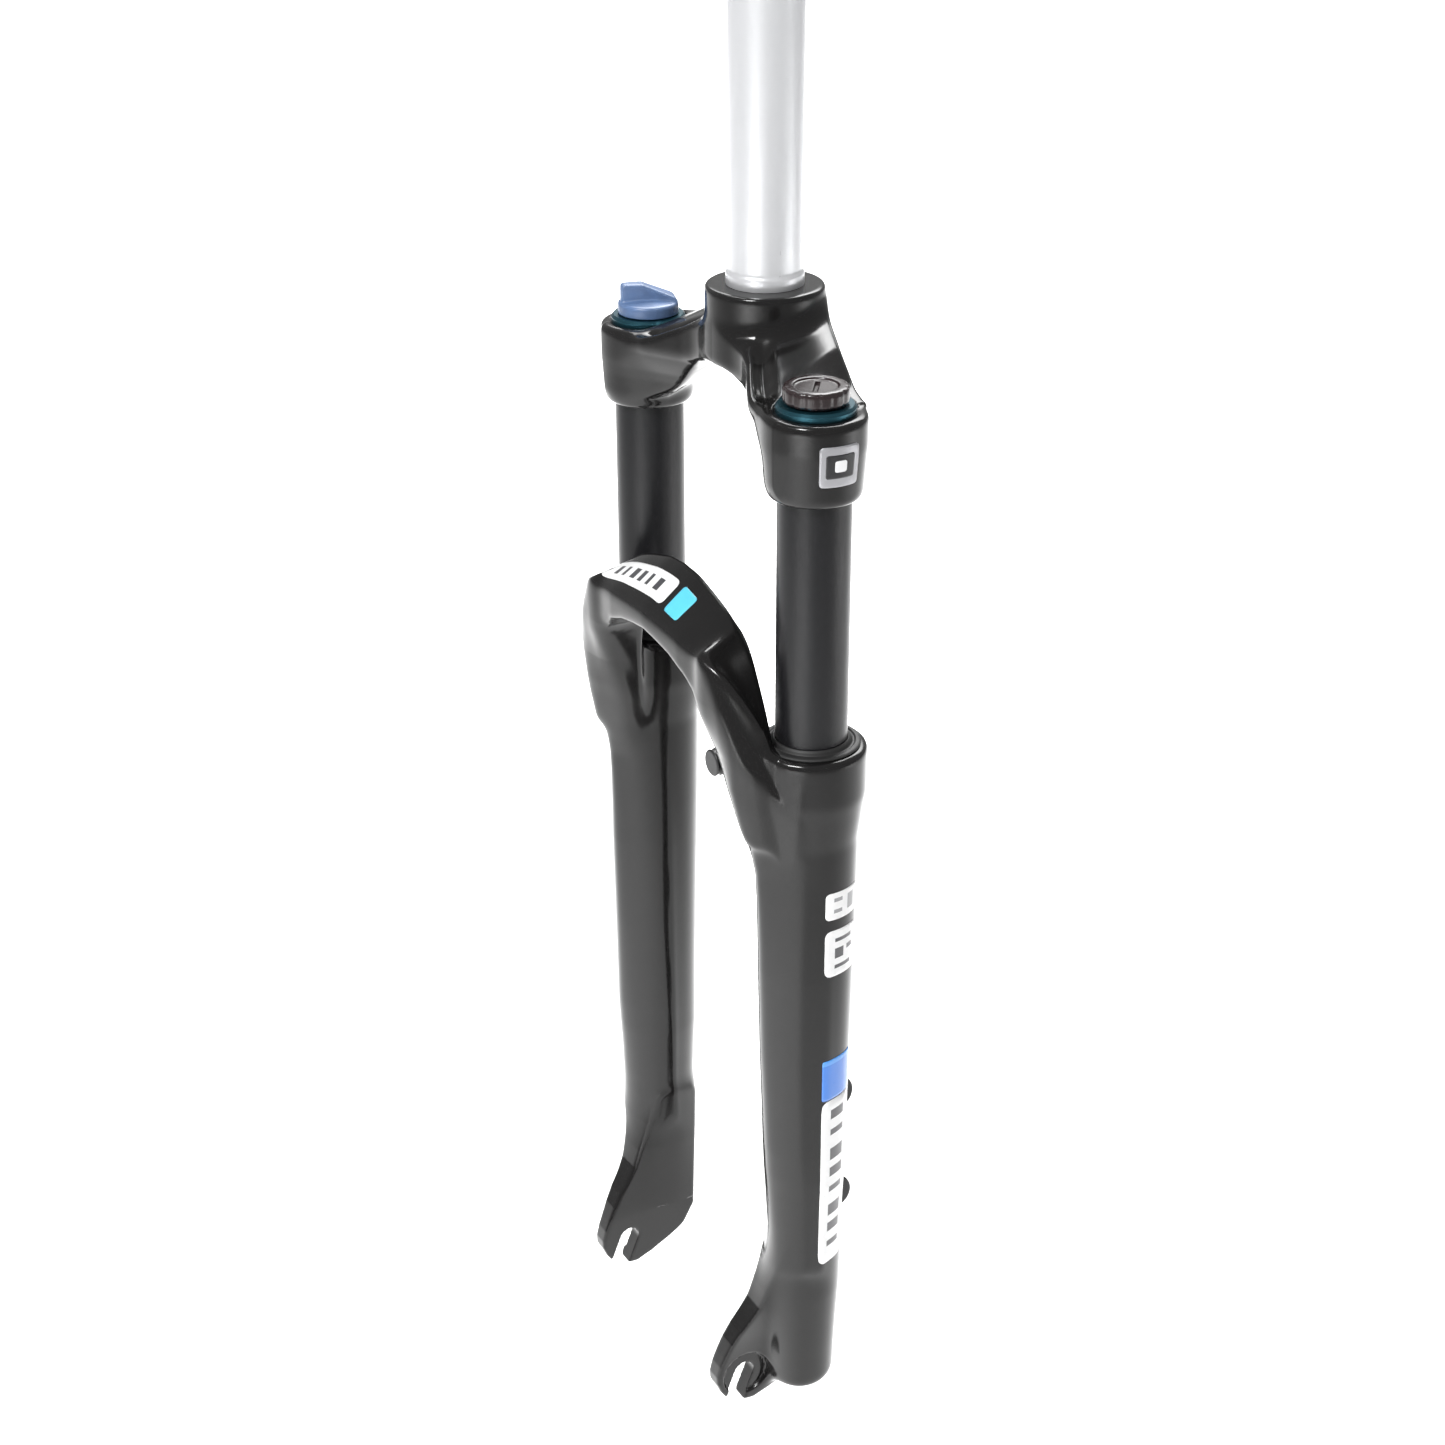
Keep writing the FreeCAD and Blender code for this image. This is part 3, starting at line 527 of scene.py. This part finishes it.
CAD_FINISH = {
    "steerer_tube": silver, "stanchion_left": satin, "stanchion_right": satin, "preload_cap": teal,
    "lockout_cap": teal, "rod_guide_left": alloy, "rod_guide_right": alloy, "preload_stem": ground,
    "preload_plug": slide, "lockout_spindle": ground, "lockout_valve": alloy, "damper_tube": alloy,
    "foot_bolts": oxide, "foot_washers": alloy, "spring_rod": alloy, "top_out_bumper": rubber,
    "coil_spring": wire, "damper_shaft": ground, "damper_piston": slide, "foam_ring_left": foam,
    "foam_ring_right": foam, "bottom_bumper_left": rubber, "bottom_bumper_right": rubber,
    "bushing_left_upper": slide, "bushing_left_lower": slide, "bushing_right_upper": slide,
    "bushing_right_lower": slide, "crown": lacquer, "lower_casting": lacquer, "preload_knob": dark_plastic,
    "lockout_knob": blue_plastic, "dust_seal_left": rubber, "dust_seal_right": rubber, "hose_guide": moulded,
}
for node, finish in CAD_FINISH.items():
    dress(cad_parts[node], finish)


def lathe(name, profile, x, y, steps=128):
    """Closed ring of revolution about an upright axis, from a closed (radius, z) outline."""
    n = len(profile)
    turn = np.linspace(0, 2 * math.pi, steps, endpoint=False)
    points = [(x + r * math.cos(t), y + r * math.sin(t), z) for t in turn for r, z in profile]
    faces = [(i * n + j, ((i + 1) % steps) * n + j, ((i + 1) % steps) * n + (j + 1) % n, i * n + (j + 1) % n)
             for i in range(steps) for j in range(n)]
    return mesh_piece(name, points, faces)


def eased(corners, cut=0.4):
    """A closed outline with each corner replaced by a short arc."""
    c = np.array(corners, float)
    out = []
    for i in range(len(c)):
        a, b, d = c[i - 1], c[i], c[(i + 1) % len(c)]
        la, ld = np.linalg.norm(a - b), np.linalg.norm(d - b)
        s = min(cut, la * 0.3, ld * 0.3)
        p, q = b + (a - b) / la * s, b + (d - b) / ld * s
        for t in (0.0, 0.33, 0.67, 1.0):
            out.append(tuple((1 - t) ** 2 * p + 2 * t * (1 - t) * b + t * t * q))
    return out


# ------------------------------------------------------------------ castings, tubes and seals

step_lower, step_crown = ((0.9, 0.7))
lowers = solid("lowers_skin", lowers_field, (-90, -62, -486), (90, 18, -104), step_lower)
dress(lowers, lacquer)
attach(lowers, LOWERS)
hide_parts("lower_casting")

crown = solid("crown_skin", crown_field, (-88, -40, -66), (88, 27, 4), step_crown)
dress(crown, lacquer)
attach(crown, UPPER)
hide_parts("crown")

steerer = lathe("steerer_skin", eased([(12.1, -30), (14.3, -30), (14.3, -0.05), (15.05, 0.0), (15.05, 4.6),
                                       (14.5, 5.6), (14.3, 6.4), (14.3, 254.2), (13.6, 255), (12.6, 255),
                                       (12.1, 254.4)], 0.35), 0, 0, 160)
dress(steerer, silver)
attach(steerer, UPPER)
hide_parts("steerer_tube")

for side, sign in (("left", 1), ("right", -1)):
    tube = lathe("stanchion_skin_" + side, eased([(12.0, -276), (13.5, -276), (14.0, -275.2), (14.0, -29.0),
                                                  (12.0, -29.0)], 0.3), sign * LEG_X, LEG_Y, 160)
    dress(tube, satin)
    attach(tube, UPPER)
    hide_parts("stanchion_" + side)
    seal = lathe("seal_skin_" + side,
                 eased([(14.06, -169.6), (17.55, -169.6), (17.55, -162.6), (18.9, -162.2), (19.3, -161.4),
                        (18.6, -160.9), (17.2, -160.6), (16.6, -161.2), (15.8, -161.0), (15.3, -159.9),
                        (14.6, -159.2), (14.08, -159.4)], 0.25), sign * LEG_X, LEG_Y, 128)
    dress(seal, rubber)
    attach(seal, LOWERS)
    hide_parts("dust_seal_" + side)


# ------------------------------------------------------------------ knobs and hose guide

KNOB_LOW = -25.7


def preload_field(x, y, z):
    """Low round knob, fluted round its rim, with a dished top and a screw slot."""
    u, v = x - LEG_X, y - LEG_Y
    r = np.hypot(u, v)
    angle = np.arctan2(v, u)
    flute = 0.3 * (0.5 + 0.5 * np.cos(14 * angle)) ** 3
    knob = smax(r - 12.35 + flute, np.abs(z - KNOB_LOW - 3.3) - 3.3, 2.8)
    dish = smax(r - 8.3, KNOB_LOW + 5.8 - z, 1.2)
    slot = np.maximum(np.maximum(np.abs(u * 0.6 + v * 0.8) - 0.8, np.abs(u * 0.8 - v * 0.6) - 6.0),
                      KNOB_LOW + 4.7 - z)
    knob = smax(knob, -dish, 1.0)
    knob = smax(knob, -slot, 0.5)
    return np.maximum(knob, -np.maximum(r - 4.02, z - KNOB_LOW - 4.0))


WEDGE_TURN = math.radians(70.0)


def lockout_field(x, y, z):
    """Round knob whose raised wedge is its lever."""
    u0, v0 = x + LEG_X, y - LEG_Y
    u = u0 * math.cos(WEDGE_TURN) + v0 * math.sin(WEDGE_TURN)
    v = -u0 * math.sin(WEDGE_TURN) + v0 * math.cos(WEDGE_TURN)
    r = np.hypot(u, v)
    disc = smax(r - 12.2, z - KNOB_LOW - 5.6 + 0.16 * np.maximum(r - 6.0, 0.0), 2.4)
    disc = smax(disc, KNOB_LOW - z, 0.6)
    slope = (z - KNOB_LOW - 12.0 + 0.42 * np.maximum(u + 2.5, 0.0)) * 0.92
    ridge = smax(slope, np.abs(v) - 4.0 - 0.1 * u, 2.4)
    ridge = smax(ridge, np.abs(u) - 11.2, 2.4)
    ridge = smax(ridge, KNOB_LOW + 1.0 - z, 0.6)
    groove = np.hypot(np.abs(v) - 4.6, z - KNOB_LOW - 9.8) - 0.5
    knob = smin(disc, ridge, 1.8)
    knob = smax(knob, -groove, 0.5)
    return np.maximum(knob, -np.maximum(r - 4.02, z - KNOB_LOW - 4.0))


def guide_field(x, y, z):
    """Snap-in hose guide: stepped plug with a round eye and a slot to press the hose in."""
    u, v = x - GUIDE_X, z - GUIDE_Z
    r = np.hypot(u, v)
    plug = smax(r - 5.5, np.abs(y + 40.75) - 6.25, 1.6)
    for groove_y in (-35.6, -45.2):
        plug = smax(plug, 0.55 - np.maximum(np.abs(y - groove_y) - 0.35, 5.5 - r), 0.3)
    pin = np.maximum(r - 1.98, np.abs(y + 31.5) - 3.2)
    body = smin(plug, pin, 0.8)
    eye = np.hypot(u, y + 41.0) - 3.1
    mouth = np.maximum(np.abs(y + 41.0) - 1.6, u)
    return smax(body, -smin(eye, mouth, 0.6), 0.8)


for name, field, box, step, finish, body, node, slot in (
        ("preload_knob_skin", preload_field, ((50, -31, -28), (80, -1, -16)), 0.4, dark_plastic,
         "preload_knob", "preload_knob", "knob_black"),
        ("lockout_knob_skin", lockout_field, ((-80, -31, -28), (-50, -1, -13)), 0.4, blue_plastic,
         "lockout", "lockout_knob", "knob_blue"),
        ("hose_guide_skin", guide_field, ((33, -49, -182), (49, -27, -167)), 0.35, moulded,
         LOWERS, "hose_guide", "guide_plastic")):
    piece = solid(name, field, box[0], box[1], step * (1.0))
    dress(piece, finish)
    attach(piece, body)
    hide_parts(node)


# ------------------------------------------------------------------ decals

def decal_material(name, pattern, ground_colour, mark_colour, rough=0.3):
    """Printed film: ground colour with plain marks laid out in the patch's own u and v."""
    made = material(name, ground_colour, rough, vary=0.04, scale=400, bump=0.02, coat=0.3, coat_rough=0.12)
    nodes, links = made.node_tree.nodes, made.node_tree.links
    shader = nodes["Principled BSDF"]
    base = shader.inputs["Base Color"].links[0].from_socket
    uv = nodes.new("ShaderNodeUVMap")
    split = nodes.new("ShaderNodeSeparateXYZ")
    links.new(uv.outputs["UV"], split.inputs["Vector"])
    total = None
    for u0, u1, v0, v1 in pattern:
        product = None
        for socket, low, high in (("X", u0, u1), ("Y", v0, v1)):
            centre = nodes.new("ShaderNodeMath")
            centre.operation = "SUBTRACT"
            links.new(split.outputs[socket], centre.inputs[0])
            centre.inputs[1].default_value = (low + high) / 2
            away = nodes.new("ShaderNodeMath")
            away.operation = "ABSOLUTE"
            links.new(centre.outputs[0], away.inputs[0])
            within = nodes.new("ShaderNodeMath")
            within.operation = "LESS_THAN"
            links.new(away.outputs[0], within.inputs[0])
            within.inputs[1].default_value = (high - low) / 2
            if product is None:
                product = within.outputs[0]
            else:
                both = nodes.new("ShaderNodeMath")
                both.operation = "MULTIPLY"
                links.new(product, both.inputs[0])
                links.new(within.outputs[0], both.inputs[1])
                product = both.outputs[0]
        if total is None:
            total = product
        else:
            either = nodes.new("ShaderNodeMath")
            either.operation = "MAXIMUM"
            links.new(total, either.inputs[0])
            links.new(product, either.inputs[1])
            total = either.outputs[0]
    if total is not None:
        mix = nodes.new("ShaderNodeMix")
        mix.data_type = "RGBA"
        links.new(total, mix.inputs[0])
        links.new(base, mix.inputs[6])
        mix.inputs[7].default_value = (*mark_colour, 1.0)
        links.new(mix.outputs[2], shader.inputs["Base Color"])
    return made


def patch(name, place, field, finish, body, corner=0.18, lift=0.14, aspect=1.0, rings=10, around=96):
    """Thin film on a surface.  place(u, v), with u and v from 0 to 1, gives a point near the surface."""
    angle = np.linspace(0, 2 * math.pi, around, endpoint=False)
    # Rounded rectangle with corner radii given as a share of the shorter side.
    half_u, half_v = (aspect, 1.0) if aspect >= 1 else (1.0, 1.0 / aspect)
    radius = corner * min(half_u, half_v) * 2
    edge = []
    for t in angle:
        d = np.array([math.cos(t) * half_u, math.sin(t) * half_v])
        low, high = 0.0, 2.0
        for _ in range(30):
            mid = (low + high) / 2
            q = np.abs(d * mid) - np.array([half_u, half_v]) + radius
            if np.linalg.norm(np.maximum(q, 0)) + min(max(q), 0) - radius > 0:
                high = mid
            else:
                low = mid
        edge.append(d * low / np.array([half_u, half_v]))
    edge = np.array(edge)
    flat = [np.zeros((1, 2))] + [edge * (k / rings) for k in range(1, rings + 1)]
    uv = np.concatenate(flat) * 0.5 + 0.5
    seed = np.array([place(u, v) for u, v in uv], float)
    top = settle(field, seed, 0.0, 6, 2.0)
    normal = gradient(field, top, 0.2)
    normal /= np.linalg.norm(normal, axis=1)[:, None]
    upper, lower = top + normal * lift, top - normal * 0.25
    n = len(uv)
    faces = []
    for i in range(around):
        j = (i + 1) % around
        faces.append((0, 1 + i, 1 + j))
        for k in range(rings - 1):
            a, b = 1 + k * around, 1 + (k + 1) * around
            faces.append((a + i, b + i, b + j, a + j))
    last = 1 + (rings - 1) * around
    flipped = [tuple(n + q for q in reversed(f)) for f in faces]
    wall = [(last + i, n + last + i, n + last + (i + 1) % around, last + (i + 1) % around)
            for i in range(around)]
    sample = np.cross(upper[1 + around // 4] - upper[0], upper[1 + around // 2] - upper[0])
    everything = faces + flipped + wall
    if sample @ normal[0] < 0:
        everything = [tuple(reversed(f)) for f in everything]
    piece = mesh_piece(name, np.concatenate([upper, lower]), everything)
    layer = piece.data.uv_layers.new(name="UVMap")
    both = np.concatenate([uv, uv])
    for loop in piece.data.loops:
        layer.data[loop.index].uv = both[loop.vertex_index]
    dress(piece, finish)
    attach(piece, body)
    return piece


FILM_WHITE = (0.86, 0.86, 0.86)
# Each mark is (low u, high u, low v, high v).
white_a = decal_material("film_white_blocks",
                         [(0.2, 0.42, 0.2, 0.34), (0.2, 0.42, 0.62, 0.76), (0.58, 0.8, 0.2, 0.76)],
                         FILM_WHITE, (0.30, 0.30, 0.31))
white_b = decal_material("film_white_bars",
                         [(0.25, 0.75, 0.18, 0.26), (0.25, 0.5, 0.4, 0.62), (0.6, 0.8, 0.4, 0.5),
                          (0.25, 0.75, 0.76, 0.84)],
                         FILM_WHITE, (0.06, 0.06, 0.065))
marks = [(0.26, 0.76, 0.06 + 0.115 * i, 0.06 + 0.115 * i + (0.055, 0.035, 0.07)[i % 3]) for i in range(8)]
white_c = decal_material("film_white_strip", marks, FILM_WHITE, (0.04, 0.04, 0.045))
blue_film = decal_material("film_blue", [(0.0, 1.0, 0.0, 0.12)], (0.05, 0.22, 0.72), (0.10, 0.36, 0.86))
cyan_film = decal_material("film_cyan", [], (0.10, 0.58, 0.78), (0.1, 0.5, 0.7))
frame_film = material("badge_silver", (0.40, 0.40, 0.42), 0.3, metal=0.4, vary=0.06, scale=300, bump=0.03)
dark_film = material("badge_dark", (0.02, 0.02, 0.022), 0.3, vary=0.2, scale=300, bump=0.03)
white_film = material("badge_white", (0.85, 0.85, 0.86), 0.25, vary=0.03, scale=300, bump=0.02, coat=0.3)


def on_leg(sign, start, end, high, low):
    """Patch coordinates on a leg: u along plan angles in degrees, v downwards."""
    def place(u, v):
        angle = math.radians(start + (end - start) * u)
        z = high + (low - high) * v
        r = float(read(LEG_RADIUS, z))
        return (sign * (LEG_X + r * math.cos(angle)), LEG_Y + r * math.sin(angle), z)
    return place


for side, sign in (("left", 1), ("right", -1)):
    for index, (finish, high, low, corner) in enumerate((
            (white_a, -220.0, -232.0, 0.16), (white_b, -237.0, -258.0, 0.16),
            (blue_film, -297.6, -316.8, 0.04), (white_c, -317.4, -400.0, 0.2))):
        aspect = 18.0 / (high - low)
        patch("film_%s_%d" % (side, index), on_leg(sign, -11, 45, high, low), lowers_field, finish, LOWERS,
              corner, aspect=aspect)


def on_arch(x0, x1, front, rear):
    """Patch coordinates on the arch's top: u along X, v from its front to its back."""
    def place(u, v):
        x = x0 + (x1 - x0) * u
        y = front + (rear - front) * v
        share = (REAR_Y - y) / (REAR_Y - float(read(BOW, abs(x))))
        z = float(read(REAR_TOP, abs(x))) * (1 - share) + float(read(FRONT_TOP, abs(x))) * share
        return (x, y, z)
    return place


arch_marks = [(0.12 + 0.13 * i, 0.12 + 0.13 * i + (0.06, 0.045, 0.075)[i % 3], 0.28, 0.74) for i in range(6)]
arch_film = decal_material("film_arch", arch_marks, FILM_WHITE, (0.05, 0.05, 0.055))
patch("film_arch", on_arch(-44, 7, -50.5, -41.0), lowers_field, arch_film, LOWERS,
      0.2, aspect=4.2, around=160)
patch("film_arch_end", on_arch(10.5, 20.5, -51.0, -41.0), lowers_field, cyan_film, LOWERS,
      0.12)


def on_socket(start, end, high, low):
    """Patch coordinates on the left socket, laid out as on a leg."""
    def place(u, v):
        angle = math.radians(start + (end - start) * u)
        z = high + (low - high) * v
        r = float(read(SOCKET_RADIUS, z))
        return (LEG_X + r * math.cos(angle), LEG_Y + r * math.sin(angle), z)
    return place


patch("badge_frame", on_socket(-27, 21, -36.5, -52.0), crown_field, frame_film, UPPER,
      0.1, lift=0.35)
patch("badge_field", on_socket(-20, 14, -39.6, -48.6), crown_field, dark_film, UPPER,
      0.08, lift=0.45)
patch("badge_middle", on_socket(-10, 4, -41.8, -46.2), crown_field, white_film, UPPER,
      0.2, lift=0.55)


# ------------------------------------------------------------------ floor, light and camera

FLOOR_HALF = 9000
floor = mesh_piece("floor", [(x * FLOOR_HALF, y * FLOOR_HALF, FLOOR_Z)
                             for x, y in ((-1, -1), (1, -1), (1, 1), (-1, 1))], [(0, 1, 2, 3)], smooth=False)
dress(floor, material("floor_pale", (0.93, 0.93, 0.93), 0.9, vary=0.01, scale=3, specular=0.1))

world = bpy.data.worlds.new("studio")
world.use_nodes = True
world.node_tree.nodes["Background"].inputs["Color"].default_value = (1.0, 1.0, 1.0, 1.0)
world.node_tree.nodes["Background"].inputs["Strength"].default_value = 0.42
bpy.context.scene.world = world


def area(name, place, target, width, height, power):
    data = bpy.data.lights.new(name, "AREA")
    data.shape = "RECTANGLE"
    data.size, data.size_y = width, height
    data.energy = power
    lamp = bpy.data.objects.new(name, data)
    bpy.context.scene.collection.objects.link(lamp)
    lamp.location = place
    lamp.rotation_euler = (Vector(target) - Vector(place)).to_track_quat("-Z", "Y").to_euler()
    lamp.visible_camera = False
    return lamp


def over(name, x, y, height, size, power, spread):
    """Soft light straight above a spot of the floor."""
    area(name, (x, y, height), (x, y, -1.0), size, size, power).data.spread = math.radians(spread)


over("front_light", 0.30, -0.85, 0.40, 0.7, 7, 110)
over("rear_light", -0.80, 0.75, 0.54, 0.9, 24, 140)
over("backdrop_light", -2.50, 1.40, 3.50, 2.4, 150, 95)
over("outer_front_light", 1.20, -2.20, 1.44, 1.0, 28, 60)
over("outer_rear_light", 1.50, 2.00, 1.20, 1.0, 18, 60)
area("key_light", (0.6, -1.3, 1.5), (0.0, -0.015, -0.19), 0.5, 0.5, 38)

LENS, DISTANCE = 62.757, 1.03634
AZIMUTH, ELEVATION, ROLL = math.radians(60.808), math.radians(25.799), math.radians(-0.138)
TARGET = Vector((-0.0080, -0.0144, -0.18537))
camera_data = bpy.data.cameras.new("camera")
camera_data.sensor_width = 36.0
camera_data.lens = LENS
camera_data.clip_start, camera_data.clip_end = 0.01, 50.0
camera = bpy.data.objects.new("camera", camera_data)
bpy.context.scene.collection.objects.link(camera)
right = Vector((math.cos(AZIMUTH), math.sin(AZIMUTH), 0.0))
back = Vector((math.sin(AZIMUTH) * math.cos(ELEVATION), -math.cos(AZIMUTH) * math.cos(ELEVATION),
               math.sin(ELEVATION)))
up = back.cross(right)
turned = right * math.cos(ROLL) + up * math.sin(ROLL)
up = back.cross(turned)
place = TARGET + back * DISTANCE
camera.matrix_world = Matrix(((turned.x, up.x, back.x, place.x), (turned.y, up.y, back.y, place.y),
                              (turned.z, up.z, back.z, place.z), (0, 0, 0, 1)))
bpy.context.scene.camera = camera
